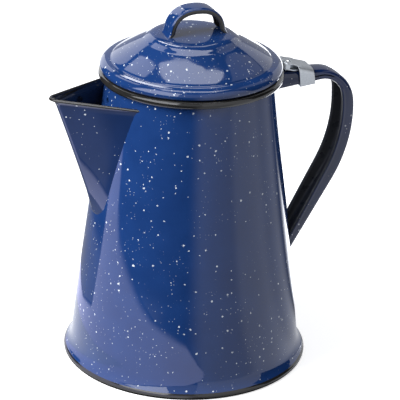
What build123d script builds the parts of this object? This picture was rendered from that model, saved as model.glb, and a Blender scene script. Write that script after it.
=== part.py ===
"""Enamelled steel coffee percolator: pot, hinged lid, and a lift-out aluminium pump and basket.

Millimetres. The origin is on the pot's axis, on the plane that the pot stands on.
+X points at the handle, -X at the spout, and +Z up. The pot is the same on both sides of the XZ plane.
"""
import os
from math import atan2, cos, degrees, radians, sin, tan

from build123d import *

# Pot wall: a cone of enamelled sheet, with its outer radius given near the foot and near the rim.
SHEET = 1.2
FOOT_Z, FOOT_R = 10.0, 67.8
NECK_Z, NECK_R = 172.0, 49.6
SEAM_IN_R, SEAM_OUT_R, SEAM_H = 68.2, 72.2, 4.0
RIM_BEAD_R, RIM_BEAD_Z, RIM_BEAD = 51.4, 175.7, 2.3

# Base pan
PAN_FLAT_R, PAN_GROOVE_R, PAN_GROOVE_H = 60.0, 66.0, 0.9

# Spout: its ridge (before rounding) and its two joints with the wall, given at four heights.
SPOUT_LEVELS = (97.0, 110.4, 164.5, 172.0)
SPOUT_RIDGE = (59.2, 63.6, 85.4, 93.3)
SPOUT_JOINT_X = (56.2, 53.7, 42.2, 40.6)
SPOUT_JOINT_Y = (13.6, 16.5, 27.0, 28.5)
SPOUT_RIDGE_R = 4.5
SPOUT_ROOT_DEPTH = 7.0
SPOUT_FLOOR = 2.0
SPOUT_LIP_Z, SPOUT_LIP_RISE = 167.6, 1.8
STRAINER_HOLE_R = 1.9
STRAINER_ROWS = (
    (163.5, (0,)),
    (158.5, (-11, 11)),
    (152.5, (-21, 0, 21)),
    (146.5, (-11, 11)),
    (140.5, (-19, 0, 19)),
    (134.5, (-10, 10)),
    (128.5, (-16, 0, 16)),
    (122.5, (-8, 8)),
    (116.5, (0,)),
)

# Handle: a channel strap, open towards the pot.
HANDLE_HALF, HANDLE_EDGE_R, HANDLE_SHEET = 8.0, 3.2, 1.3
HANDLE_ROOT_X = 45.0
BACK_ROOT_Z, BACK_KNEE, BACK_BEND, BACK_BOW = 173.05, (79.7, 171.2), (22.0, -83.1), (86.8, -34.2)
EDGE_ROOT_Z, EDGE_KNEE, EDGE_BEND, EDGE_BOW = 161.8, (78.2, 165.85), (12.0, -90.8), (81.4, -33.6)
HANDLE_TAIL = 55.0

# Lid
LID_SHEET = 1.0
LID_EDGE_Z = 178.9
LID_CURVE = (
    (0, 200.5),
    (12, 200.4),
    (20, 200.1),
    (23.5, 199.3),
    (26, 197.9),
    (27.8, 196.6),
    (30, 195.4),
    (35, 192.6),
    (42, 188.3),
    (45.2, 186.1),
    (46.6, 184.95),
    (48.2, 184.5),
    (50.3, 183.8),
    (52.0, 182.4),
    (52.85, 180.8),
    (52.6, LID_EDGE_Z),
)
RING_R, RING_SHEET, RING_LOW_Z = 47.8, 0.9, 171.5
LOOP_HALF, LOOP_SHEET, LOOP_DEPTH, LOOP_EDGE_R = 6.4, 1.2, 3.0, 2.0
LOOP_X, LOOP_Z, LOOP_R = 1.3, 199.5, 17.2
LOOP_FOOT, LOOP_FOOT_Z = 1.6, 201.3

# Hinge: a pin across the handle, just behind the rim.
HINGE_X, HINGE_Z = 57.2, 175.6
PIN_R, PIN_FIT = 1.25, 0.05
CLIP_SHEET = 0.9
EYE_R = PIN_R + PIN_FIT + CLIP_SHEET
EYE_HALF, LEAF_HALF, EYE_GAP = 6.0, 2.4, 0.3
RAMP_ANGLE = 16.3
CLIP_CLEAR = 0.15
CLIP_HALF = HANDLE_HALF + CLIP_CLEAR + CLIP_SHEET
SLEEVE_TOP_X, SLEEVE_LOW_X, SLEEVE_FOLD_R, SLEEVE_SEAM_HALF = (63.4, 73.0), (64.7, 74.0), 3.9, 4.5
FLARE_X, SLOT_X, SLOT_Z = 60.4, 61.2, 173.1
TAIL_SHEET, TAIL_KINK_X, TAIL_END_X = 0.8, 61.4, 72.6
LEAF_SHEET, LEAF_WIDE_HALF, LEAF_END_X, LEAF_BEND_X = 0.6, 6.0, 48.3, 54.4
PIN_HEAD_R, PIN_HEAD = 1.9, 0.7

# Pump and basket
TUBE_R, TUBE_SHEET, TUBE_LOW_Z, TUBE_TOP_Z = 4.0, 0.7, 6.0, 190.0
BELL_FOOT_R, BELL_FOOT_Z, BELL_NECK_Z, BELL_TOP_Z, BELL_SHEET = 36.0, 1.3, 20.0, 30.0, 0.8
BELL_HOLE_R, BELL_HOLE_AT, BELL_HOLES = 2.2, 27.0, 8
STOP_R, STOP_Z, STOP_H = 6.4, 108.0, 2.8
BASKET_R, BASKET_SHEET, BASKET_TOP_Z, BASKET_BEAD = 41.5, 0.7, 156.0, 0.9
BASKET_Z = STOP_Z + STOP_H + 0.2
SLEEVE_IN_R, SLEEVE_OUT_R, SLEEVE_TOP_Z = TUBE_R + 0.1, TUBE_R + 0.9, 148.0
COVER_SHEET, COVER_DISH, COVER_NECK_Z, COVER_R = 0.7, 2.8, 164.0, 42.3
COVER_Z = BASKET_TOP_Z + BASKET_BEAD + 0.1
DRAIN_HOLE_R = 0.9


def wall_radius(z):
    """Outer radius of the pot's wall at height z."""
    return FOOT_R + (z - FOOT_Z) * (NECK_R - FOOT_R) / (NECK_Z - FOOT_Z)


def handle_line(x, root_z, knee):
    """Height, at x, of a straight line from the handle's root to one of its knees."""
    return root_z + (x - HANDLE_ROOT_X) * (knee[1] - root_z) / (knee[0] - HANDLE_ROOT_X)


def handle_top(x):
    """Height of the handle's upper face on its straight stretch."""
    return handle_line(x, BACK_ROOT_Z, BACK_KNEE)


def handle_edge(x):
    """Height of the handle's lower edges on their straight stretch."""
    return handle_line(x, EDGE_ROOT_Z, EDGE_KNEE)


def save(piece, node):
    """Label a finished piece and write it as one STEP file."""
    piece.part.label = node
    export_step(piece.part, f"parts/{node}.step")


os.makedirs("parts", exist_ok=True)

# ---------------------------------------------------------------- pot

# Everything inside the pot's outer surface, used to trim what is brazed to it.
with BuildPart() as pot_envelope:
    with BuildSketch(Plane.XZ):
        with BuildLine():
            Polyline((FOOT_R, FOOT_Z), (wall_radius(RIM_BEAD_Z), RIM_BEAD_Z), (0, RIM_BEAD_Z))
            Polyline((0, RIM_BEAD_Z), (0, 0), (SEAM_OUT_R - 1, 0))
            ThreePointArc((SEAM_OUT_R - 1, 0), (SEAM_OUT_R, SEAM_H / 2), (SEAM_OUT_R - 1, SEAM_H))
            ThreePointArc((SEAM_OUT_R - 1, SEAM_H), (69.0, 6.2), (FOOT_R, FOOT_Z))
        make_face()
    revolve(axis=Axis.Z)
    # The sheet curls over into a round bead at the rim.
    with BuildSketch(Plane.XZ):
        with BuildLine():
            CenterArc((RIM_BEAD_R, RIM_BEAD_Z), RIM_BEAD, 0, 360)
            CenterArc((wall_radius(NECK_Z) - SHEET / 2, NECK_Z + 2), SHEET / 2, 0, 360)
        make_hull()
    revolve(axis=Axis.Z)

with BuildPart() as pot_wall:
    add(pot_envelope.part)
    with BuildSketch(Plane.XZ):
        neck_in_r = wall_radius(NECK_Z) - SHEET
        Polygon(
            (0, -1),
            (SEAM_IN_R, -1),
            (SEAM_IN_R, SEAM_H + 1),
            (FOOT_R - SHEET, FOOT_Z),
            (neck_in_r, NECK_Z),
            (neck_in_r, 174.5),
            (RIM_BEAD_R - 1.6, 177.35),
            (RIM_BEAD_R - 1.6, 180),
            (0, 180),
            align=None,
        )
    revolve(axis=Axis.Z, mode=Mode.SUBTRACT)
    for row_z, angles in STRAINER_ROWS:
        for angle in angles:
            outward = Vector(-cos(radians(angle)), sin(radians(angle)), 0)
            seat = outward * wall_radius(row_z) + Vector(0, 0, row_z)
            with BuildSketch(Plane(origin=seat, z_dir=outward)):
                Circle(STRAINER_HOLE_R)
            extrude(amount=3, both=True, mode=Mode.SUBTRACT)
save(pot_wall, "pot_wall")

with BuildPart() as base_pan:
    with BuildSketch(Plane.XZ):
        Polygon(
            (0, 0),
            (PAN_FLAT_R, 0),
            (PAN_FLAT_R + 1.5, PAN_GROOVE_H),
            (PAN_GROOVE_R, PAN_GROOVE_H),
            (PAN_GROOVE_R + 1, 0),
            (SEAM_IN_R, 0),
            (SEAM_IN_R, SHEET * 2),
            (PAN_GROOVE_R, PAN_GROOVE_H + SHEET),
            (PAN_FLAT_R + 1.2, PAN_GROOVE_H + SHEET),
            (PAN_FLAT_R - 0.4, SHEET),
            (0, SHEET),
            align=None,
        )
    revolve(axis=Axis.Z)
save(base_pan, "base_pan")


def spout_section(level, inset):
    """One horizontal section of the spout, drawn inset from its outer faces."""
    ridge, joint_x, joint_y = SPOUT_RIDGE[level], SPOUT_JOINT_X[level], SPOUT_JOINT_Y[level]
    root_x = joint_x - SPOUT_ROOT_DEPTH
    flank = atan2(joint_y, ridge - joint_x)
    ridge_in = ridge - inset / sin(flank)
    side_in = inset / cos(flank)
    raised = SPOUT_FLOOR if inset and level == 0 else 0
    with BuildSketch(Plane.XY.offset(SPOUT_LEVELS[level] + raised)) as section:
        Polygon(
            (-ridge_in, 0),
            (-joint_x, joint_y - side_in),
            (-root_x, joint_y - side_in),
            (-root_x, side_in - joint_y),
            (-joint_x, side_in - joint_y),
            align=None,
        )
        fillet(section.vertices().sort_by(Axis.X)[0], SPOUT_RIDGE_R - inset)
    return section.sketch


with BuildPart() as spout_hollow:
    for level in range(len(SPOUT_LEVELS)):
        add(spout_section(level, SHEET))
    loft(ruled=True)

with BuildPart() as spout:
    for level in range(len(SPOUT_LEVELS)):
        add(spout_section(level, 0))
    loft(ruled=True)
    add(spout_hollow.part, mode=Mode.SUBTRACT)
    add(pot_envelope.part, mode=Mode.SUBTRACT)
    # The lip rises a little towards the tip.
    lip_tilt = degrees(atan2(SPOUT_LIP_RISE, SPOUT_RIDGE[-1] - SPOUT_JOINT_X[-1]))
    with BuildSketch(Plane(origin=(-SPOUT_JOINT_X[-1], 0, SPOUT_LIP_Z)).rotated((0, lip_tilt, 0))):
        Rectangle(140, 140)
    extrude(amount=30, mode=Mode.SUBTRACT)
save(spout, "spout")

# ---------------------------------------------------------------- handle

with BuildPart() as handle:
    with BuildSketch(Plane.XZ):
        with BuildLine():
            back_top = Line((HANDLE_ROOT_X, BACK_ROOT_Z), BACK_KNEE)
            back_bend = JernArc(back_top @ 1, back_top % 1, *BACK_BEND)
            back_bow = JernArc(back_bend @ 1, back_bend % 1, *BACK_BOW)
            back_low = Line(back_bow @ 1, back_bow @ 1 + (back_bow % 1) * HANDLE_TAIL)
            edge_top = Line((HANDLE_ROOT_X, EDGE_ROOT_Z), EDGE_KNEE)
            edge_bend = JernArc(edge_top @ 1, edge_top % 1, *EDGE_BEND)
            edge_bow = JernArc(edge_bend @ 1, edge_bend % 1, *EDGE_BOW)
            edge_low = Line(edge_bow @ 1, edge_bow @ 1 + (edge_bow % 1) * HANDLE_TAIL)
            Line(back_top @ 0, edge_top @ 0)
            Line(back_low @ 1, edge_low @ 1)
        make_face()
    extrude(amount=HANDLE_HALF, both=True)
    back_joints = [curve @ 1 for curve in (back_top, back_bend, back_bow)]
    sides = (-HANDLE_HALF, HANDLE_HALF)
    corner_seats = [Vertex(joint.X, side, joint.Y) for joint in back_joints for side in sides]
    corners = handle.edges().filter_by(
        lambda edge: edge.length > 20 and any(edge.distance_to(seat) < 0.05 for seat in corner_seats)
    )
    fillet(corners, HANDLE_EDGE_R)
    middle_seats = [Vertex(joint.X, 0, joint.Y) for joint in back_joints]
    middle_faces = handle.faces().filter_by(lambda face: abs(face.center().Y) < 0.01)
    open_side = middle_faces.filter_by(
        lambda face: all(face.distance_to(seat) > 0.05 for seat in middle_seats)
    )
    offset(amount=-HANDLE_SHEET, openings=open_side)
    add(pot_envelope.part, mode=Mode.SUBTRACT)
save(handle, "handle")

# ---------------------------------------------------------------- hinge


def ramp_top(x):
    """Height of the clip's ramp, whose plane touches the top of the eyes."""
    return HINGE_Z + EYE_R / cos(radians(RAMP_ANGLE)) - (x - HINGE_X) * tan(radians(RAMP_ANGLE))


def sleeve_low(x):
    """Height of the underside of the clip's sleeve."""
    return handle_edge(x) - CLIP_CLEAR - CLIP_SHEET


def sleeve_block(inset, reach):
    """The solid that the clip's sleeve wraps, inset from its outer faces and longer by reach."""
    left_top, right_top = SLEEVE_TOP_X[0] - reach, SLEEVE_TOP_X[1] + reach
    left_low, right_low = SLEEVE_LOW_X[0] - reach, SLEEVE_LOW_X[1] + reach
    with BuildPart() as block:
        with BuildSketch(Plane.XZ):
            Polygon(
                (left_top, ramp_top(left_top) - inset),
                (right_top, ramp_top(right_top) - inset),
                (right_low, sleeve_low(right_low) + inset),
                (left_low, sleeve_low(left_low) + inset),
                align=None,
            )
        extrude(amount=CLIP_HALF - inset, both=True)
        folds = block.edges().filter_by(lambda edge: abs(edge.tangent_at(0.5).X) > 0.9).group_by(Axis.Z)[-1]
        fillet(folds, SLEEVE_FOLD_R - inset)
    return block.part


def hinge_eye():
    """Draw one rolled eye, round the pin's axis."""
    with Locations((HINGE_X, HINGE_Z)):
        Circle(EYE_R)
        Circle(PIN_R + PIN_FIT, mode=Mode.SUBTRACT)


# The sleeve keeps only its skin, and its seam is open underneath.
with BuildPart() as clip_sleeve:
    add(sleeve_block(0, 0))
    add(sleeve_block(CLIP_SHEET, 9), mode=Mode.SUBTRACT)
    with BuildSketch(Plane.XY.offset(SLOT_Z - 4)):
        with Locations((SLEEVE_LOW_X[0] + 5, 0)):
            Rectangle(20, 2 * SLEEVE_SEAM_HALF)
    extrude(amount=-10, mode=Mode.SUBTRACT)

# The ramp and the eyes are one strip, narrow at the eyes and flared to the sleeve's width.
with BuildPart() as clip_ramp:
    with BuildSketch(Plane.XZ):
        crest_x = HINGE_X + EYE_R * sin(radians(RAMP_ANGLE))
        Polygon(
            (crest_x, ramp_top(crest_x)),
            (SLEEVE_TOP_X[0] + 2, ramp_top(SLEEVE_TOP_X[0] + 2)),
            (SLEEVE_TOP_X[0] + 2, ramp_top(SLEEVE_TOP_X[0] + 2) - CLIP_SHEET),
            (HINGE_X + PIN_R + PIN_FIT, ramp_top(HINGE_X + PIN_R + PIN_FIT) - CLIP_SHEET),
            align=None,
        )
        hinge_eye()
    extrude(amount=CLIP_HALF, both=True)
    flare_start, flare_end, strip_end = FLARE_X, SLEEVE_TOP_X[0] + 0.3, SLEEVE_TOP_X[1]
    flat_half = CLIP_HALF - SLEEVE_FOLD_R / 2
    with BuildSketch(Plane.XY.offset(HINGE_Z - 10)):
        Polygon(
            (HINGE_X - 4, -EYE_HALF),
            (flare_start, -EYE_HALF),
            (flare_end, -flat_half),
            (strip_end, -flat_half),
            (strip_end, flat_half),
            (flare_end, flat_half),
            (flare_start, EYE_HALF),
            (HINGE_X - 4, EYE_HALF),
            align=None,
        )
    extrude(amount=20, mode=Mode.INTERSECT)

with BuildPart() as hinge_clip:
    add(clip_sleeve.part)
    add(clip_ramp.part)
    # The tail runs back from the eyes along the handle.
    with BuildSketch(Plane.XZ):
        tail_rise = CLIP_CLEAR / 2
        Polygon(
            (HINGE_X, HINGE_Z - EYE_R),
            (HINGE_X + 0.6, HINGE_Z - EYE_R + TAIL_SHEET),
            (TAIL_KINK_X, handle_top(TAIL_KINK_X) + tail_rise + TAIL_SHEET),
            (TAIL_END_X, handle_top(TAIL_END_X) + tail_rise + TAIL_SHEET),
            (TAIL_END_X, handle_top(TAIL_END_X) + tail_rise),
            (TAIL_KINK_X, handle_top(TAIL_KINK_X) + tail_rise),
            align=None,
        )
    extrude(amount=EYE_HALF, both=True)
    # A slot between the two eyes takes the lid's eye and lets its strap swing through.
    slot_length, slot_height = SLOT_X - HINGE_X + 4, 8
    with BuildSketch(Plane.XY.offset(SLOT_Z)):
        with Locations((SLOT_X - slot_length / 2, 0)):
            Rectangle(slot_length, 2 * (LEAF_HALF + EYE_GAP))
    extrude(amount=slot_height, mode=Mode.SUBTRACT)
save(hinge_clip, "hinge_clip")

with BuildPart() as hinge_pin:
    with BuildSketch(Plane.XZ):
        with Locations((HINGE_X, HINGE_Z)):
            Circle(PIN_R)
    extrude(amount=EYE_HALF + 0.05, both=True)
    for side in (-1, 1):
        with BuildSketch(Plane.XZ.offset(side * (EYE_HALF + 0.05))):
            with Locations((HINGE_X, HINGE_Z)):
                Circle(PIN_HEAD_R)
        extrude(amount=side * PIN_HEAD)
    rims = hinge_pin.edges().filter_by(GeomType.CIRCLE).group_by(Axis.Y)
    fillet(rims[0] + rims[-1], 0.5)
save(hinge_pin, "hinge_pin")

with BuildPart() as lid_hinge_leaf:
    with BuildSketch(Plane.XZ):
        hinge_eye()
    extrude(amount=LEAF_HALF, both=True)
    with BuildSketch(Plane.XZ):
        Polygon(
            (HINGE_X, HINGE_Z + EYE_R),
            (LEAF_BEND_X, LID_EDGE_Z),
            (LEAF_BEND_X, LID_EDGE_Z - LEAF_SHEET),
            (HINGE_X, HINGE_Z + PIN_R + PIN_FIT + 0.1),
            align=None,
        )
    extrude(amount=LEAF_HALF, both=True)
    with BuildSketch(Plane.XY.offset(LID_EDGE_Z)):
        with Locations(((LEAF_BEND_X + LEAF_END_X) / 2, 0)):
            Rectangle(LEAF_BEND_X - LEAF_END_X, 2 * LEAF_WIDE_HALF)
    extrude(amount=-LEAF_SHEET)
save(lid_hinge_leaf, "lid_hinge_leaf")

# ---------------------------------------------------------------- lid

# Everything under the lid's outer surface.
with BuildPart() as lid_plug:
    with BuildSketch(Plane.XZ):
        with BuildLine():
            lid_line = Spline(*LID_CURVE, tangents=((1, 0), (-0.25, -1)))
            Polyline(lid_line @ 1, (0, LID_EDGE_Z), lid_line @ 0)
        make_face()
    revolve(axis=Axis.Z)

lid_stations = [step / 30 for step in range(31)]
lid_inner_points = [lid_line @ at + (lid_line % at).rotate(Axis.Z, -90) * LID_SHEET for at in lid_stations]

with BuildPart() as lid_shell:
    add(lid_plug.part)
    with BuildSketch(Plane.XZ):
        with BuildLine():
            inner_line = Spline(*lid_inner_points)
            inner_edge = inner_line @ 1
            Polyline(inner_edge, (inner_edge.X, LID_EDGE_Z - 1), (0, LID_EDGE_Z - 1), inner_line @ 0)
        make_face()
    revolve(axis=Axis.Z, mode=Mode.SUBTRACT)
save(lid_shell, "lid_shell")

with BuildPart() as lid_locating_ring:
    ring_in_r, flange_r, flange_z = RING_R - RING_SHEET, LID_CURVE[-1][0] - 0.2, LID_EDGE_Z + RING_SHEET
    with BuildSketch(Plane.XZ):
        Polygon(
            (ring_in_r, RING_LOW_Z),
            (RING_R, RING_LOW_Z),
            (RING_R, LID_EDGE_Z),
            (flange_r, LID_EDGE_Z),
            (flange_r, flange_z),
            (ring_in_r, flange_z),
            align=None,
        )
    revolve(axis=Axis.Z)
    add(lid_shell.part, mode=Mode.SUBTRACT)
save(lid_locating_ring, "lid_locating_ring")


def arch_block(inset, half_width):
    """The solid under the loop's arch, inset from the arch and as wide as asked."""
    reach, leg = LOOP_R - inset, LOOP_R - 4
    with BuildPart() as block:
        with BuildSketch(Plane.XZ):
            with Locations((LOOP_X, LOOP_Z)):
                Circle(reach)
            with Locations((LOOP_X, LOOP_Z - leg / 2)):
                Rectangle(2 * reach, leg)
        extrude(amount=half_width, both=True)
    return block.part


with BuildPart() as lid_loop:
    add(arch_block(0, LOOP_HALF))
    fillet(lid_loop.edges().filter_by(lambda edge: edge.length > 2 * LOOP_R), LOOP_EDGE_R)
    add(arch_block(LOOP_SHEET, LOOP_HALF - LOOP_SHEET), mode=Mode.SUBTRACT)
    add(arch_block(LOOP_DEPTH, LOOP_HALF + 1), mode=Mode.SUBTRACT)
    # A foot at each end turns outwards to lie on the lid.
    with BuildSketch(Plane.XZ):
        foot_mid, foot_low_z = LOOP_R + (LOOP_FOOT - LOOP_DEPTH) / 2, LID_CURVE[4][1]
        for side in (-1, 1):
            with Locations((LOOP_X + side * foot_mid, (LOOP_FOOT_Z + foot_low_z) / 2)):
                Rectangle(LOOP_FOOT + LOOP_DEPTH, LOOP_FOOT_Z - foot_low_z)
    extrude(amount=LOOP_HALF, both=True)
    add(lid_plug.part, mode=Mode.SUBTRACT)
save(lid_loop, "lid_loop")

# ---------------------------------------------------------------- pump and basket

with BuildPart() as pump_tube:
    with BuildSketch(Plane.XY.offset(TUBE_LOW_Z)):
        Circle(TUBE_R)
        Circle(TUBE_R - TUBE_SHEET, mode=Mode.SUBTRACT)
    extrude(amount=TUBE_TOP_Z - TUBE_LOW_Z)
save(pump_tube, "pump_tube")

with BuildPart() as pump_base:
    neck_r = TUBE_R + BELL_SHEET
    with BuildSketch(Plane.XZ):
        Polygon(
            (BELL_FOOT_R - 3, BELL_FOOT_Z),
            (BELL_FOOT_R, BELL_FOOT_Z),
            (BELL_FOOT_R, BELL_FOOT_Z + BELL_SHEET),
            (BELL_FOOT_R - 2.5, BELL_FOOT_Z + BELL_SHEET),
            (neck_r + 1, BELL_NECK_Z),
            (neck_r, BELL_NECK_Z + 2),
            (neck_r, BELL_TOP_Z),
            (TUBE_R, BELL_TOP_Z),
            (TUBE_R, BELL_NECK_Z + 1),
            align=None,
        )
    revolve(axis=Axis.Z)
    with BuildSketch(Plane.XY):
        with PolarLocations(BELL_HOLE_AT, BELL_HOLES):
            Circle(BELL_HOLE_R)
    extrude(amount=BELL_NECK_Z, mode=Mode.SUBTRACT)
save(pump_base, "pump_base")

with BuildPart() as basket_stop:
    with BuildSketch(Plane.XY.offset(STOP_Z)):
        Circle(STOP_R)
        Circle(TUBE_R, mode=Mode.SUBTRACT)
    extrude(amount=STOP_H)
    fillet(basket_stop.edges().filter_by(GeomType.CIRCLE).group_by(SortBy.RADIUS)[-1], 0.8)
save(basket_stop, "basket_stop")


def drain_holes(rings):
    """Draw rings of drain holes, each given as its radius and number of holes."""
    for ring_r, count in rings:
        with PolarLocations(ring_r, count):
            Circle(DRAIN_HOLE_R)


with BuildPart() as basket:
    with BuildSketch(Plane.XZ):
        Polygon(
            (SLEEVE_OUT_R, BASKET_Z),
            (BASKET_R, BASKET_Z),
            (BASKET_R, BASKET_TOP_Z),
            (BASKET_R - BASKET_SHEET, BASKET_TOP_Z),
            (BASKET_R - BASKET_SHEET, BASKET_Z + BASKET_SHEET),
            (SLEEVE_OUT_R, BASKET_Z + BASKET_SHEET),
            align=None,
        )
        with Locations((BASKET_R, BASKET_TOP_Z)):
            Circle(BASKET_BEAD)
    revolve(axis=Axis.Z)
    with BuildSketch(Plane.XY.offset(BASKET_Z)):
        drain_holes(((11, 12), (17, 18), (23, 24), (29, 30), (35, 36)))
    extrude(amount=BASKET_SHEET * 2, mode=Mode.SUBTRACT)
    for row_z in (BASKET_Z + 6, BASKET_Z + 11):
        with Locations((0, 0, row_z)):
            with PolarLocations(BASKET_R, 36):
                Cylinder(DRAIN_HOLE_R, 5, rotation=(0, 90, 0), mode=Mode.SUBTRACT)
save(basket, "basket")

with BuildPart() as basket_sleeve:
    with BuildSketch(Plane.XY.offset(BASKET_Z)):
        Circle(SLEEVE_OUT_R)
        Circle(SLEEVE_IN_R, mode=Mode.SUBTRACT)
    extrude(amount=SLEEVE_TOP_Z - BASKET_Z)
save(basket_sleeve, "basket_sleeve")

with BuildPart() as basket_cover:
    dish_r, dish_z, neck_out_r = COVER_R - 4, COVER_Z - COVER_DISH, SLEEVE_OUT_R
    with BuildSketch(Plane.XZ):
        Polygon(
            (SLEEVE_IN_R, COVER_NECK_Z),
            (neck_out_r, COVER_NECK_Z),
            (neck_out_r, COVER_Z + 2),
            (neck_out_r + 4, dish_z + COVER_SHEET),
            (dish_r, dish_z + COVER_SHEET),
            (dish_r + 1, COVER_Z + COVER_SHEET),
            (COVER_R, COVER_Z + COVER_SHEET),
            (COVER_R, COVER_Z),
            (dish_r + 1.6, COVER_Z),
            (dish_r + 0.7, dish_z),
            (neck_out_r + 3.7, dish_z),
            (SLEEVE_IN_R, COVER_Z + 1.2),
            align=None,
        )
    revolve(axis=Axis.Z)
    with BuildSketch(Plane.XY.offset(dish_z)):
        drain_holes(((12, 12), (17, 18), (22, 24), (27, 30), (32, 36)))
    extrude(amount=COVER_SHEET * 2, mode=Mode.SUBTRACT)
save(basket_cover, "basket_cover")
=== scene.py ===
import math

import bmesh
import bpy
from mathutils import Matrix, Vector


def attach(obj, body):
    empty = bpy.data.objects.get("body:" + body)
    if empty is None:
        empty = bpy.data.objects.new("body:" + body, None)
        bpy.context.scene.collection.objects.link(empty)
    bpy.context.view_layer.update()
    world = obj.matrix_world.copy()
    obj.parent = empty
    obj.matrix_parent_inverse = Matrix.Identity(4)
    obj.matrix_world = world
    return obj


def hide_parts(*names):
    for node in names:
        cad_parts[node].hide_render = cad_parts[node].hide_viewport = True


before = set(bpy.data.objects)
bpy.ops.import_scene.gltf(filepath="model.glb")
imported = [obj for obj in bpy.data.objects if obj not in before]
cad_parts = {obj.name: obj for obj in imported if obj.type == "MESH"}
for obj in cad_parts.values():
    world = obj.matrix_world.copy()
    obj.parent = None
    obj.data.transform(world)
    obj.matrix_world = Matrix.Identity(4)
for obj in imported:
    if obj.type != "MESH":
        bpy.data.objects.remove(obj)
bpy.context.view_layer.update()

MM = 0.001

# ---------------------------------------------------------------- dimensions, in millimetres

TINY = 1e-6  # keeps a length from being zero
WELD = 0.002  # points nearer than this become one

# The pot: its wall's straight taper, the bead round its mouth and the rolled rim under its foot.
SHEET = 1.2
FOOT_Z, FOOT_R = 10.0, 67.8
NECK_Z, NECK_R = 172.0, 49.6
BEAD_R, BEAD_Z, BEAD = 51.4, 175.7, 2.3
FOOT_RIM_R, FOOT_RIM = 70.17, 2.0
SEAM_HEIGHT = 4.0

# The lid's outside as (radius, height) points, and the ring under it that drops into the mouth.
LID_EDGE_Z = 178.9
LID_SHEET = 1.0
LID_CURVE = (
    (0, 200.5),
    (12, 200.4),
    (20, 200.1),
    (23.5, 199.3),
    (26, 197.9),
    (27.8, 196.6),
    (30, 195.4),
    (35, 192.6),
    (42, 188.3),
    (45.2, 186.1),
    (46.6, 184.95),
    (48.2, 184.5),
    (50.3, 183.8),
    (52.0, 182.4),
    (52.85, 180.8),
    (52.6, LID_EDGE_Z),
)
RING_R, RING_SHEET, RING_LOW_Z, RING_MID_Z = 47.8, 0.9, 171.5, 175.0

# The spout's ridge and its joints with the wall, given at four heights.
SPOUT_LEVELS = (97.0, 110.4, 166.0, 172.0)
SPOUT_RIDGE = (59.2, 63.6, 86.0, 93.9)
SPOUT_JOINT_X = (56.2, 53.7, 41.9, 40.6)
SPOUT_JOINT_Y = (13.6, 16.5, 27.3, 28.5)
SPOUT_RIDGE_R = 4.6
SPOUT_BOW = 0.35  # how far its sides bow out
SPOUT_ROOT = 1.0  # how far a side runs on into the wall
SPOUT_FLARE, SPOUT_FLARE_H = 0.7, 3.4
SPOUT_LIP_X, SPOUT_LIP_Z, SPOUT_LIP_SLOPE = 40.6, 167.6, 1.8 / 52.7
LIP_BEAD = 0.95
# For the outside and then the hollow: the height it starts at, how far below that it meets the wall,
# and the height whose wall radius is used there. It stops SPOUT_SINK inside the wall's face.
SPOUT_FOOT_Z, SPOUT_FOOT_DROP, SPOUT_BACK_Z = 98.5, 3.9, 94.6
HOLLOW_FOOT_Z, HOLLOW_FOOT_DROP, HOLLOW_BACK_Z = 100.2, 1.4, 98.0
SPOUT_SINK = 0.6

# The handle: a channel between a back line and an edge line, each (root, knee, bend, bow, tail). Root
# and knee are (x, z) points, bend and bow are (radius, degrees turned), and tail is a length.
HANDLE_HALF, HANDLE_EDGE_R, HANDLE_SHEET = 8.0, 3.4, 1.3
HANDLE_BEAD, HANDLE_CROWN, HANDLE_STEP = 1.15, 0.22, 0.3
HANDLE_WIDER, HANDLE_WIDER_Z, HANDLE_WIDER_RUN = 1.3, 168, 22
HANDLE_BACK = ((45.0, 173.05), (79.6, 171.2), (22.0, -83.1), (86.8, -34.2), 55.0)
HANDLE_EDGE = ((45.0, 161.8), (78.2, 165.85), (12.0, -90.8), (81.4, -33.6), 60.0)
STRETCH_STEPS = (14, 26, 26, 22)

# The lid's loop: half its width, the middle of its feet, its reach and its rise.
LOOP_HALF, LOOP_X, LOOP_Z, LOOP_R, LOOP_RISE = 6.4, 1.3, 199.8, 17.2, 16.8
LOOP_POWER, LOOP_STEPS = 2.35, 48
LOOP_SHEET, LOOP_DEPTH, LOOP_CORNER_R, LOOP_BEAD = 1.2, 3.0, 1.9, 0.75
LOOP_FOOT_H, LOOP_SPREAD, LOOP_SINK = 3.5, 1.3, 0.6

# The holes behind the spout as (height, angles from the spout in degrees).
STRAINER_HOLE_R = 1.9
STRAINER_ROWS = (
    (163.5, (0,)),
    (158.5, (-11, 11)),
    (152.5, (-21, 0, 21)),
    (146.5, (-11, 11)),
    (140.5, (-19, 0, 19)),
    (134.5, (-10, 10)),
    (128.5, (-16, 0, 16)),
    (122.5, (-8, 8)),
    (116.5, (0,)),
)


def wall_radius(z):
    """Outer radius of the pot's wall at height z."""
    return FOOT_R + (z - FOOT_Z) * (NECK_R - FOOT_R) / (NECK_Z - FOOT_Z)


# ---------------------------------------------------------------- small geometry helpers


def arc(cx, cy, r, start, end, steps):
    """Points on an arc, with angles in degrees."""
    out = []
    for i in range(steps + 1):
        a = math.radians(start + (end - start) * i / steps)
        out.append((cx + r * math.cos(a), cy + r * math.sin(a)))
    return out


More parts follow.
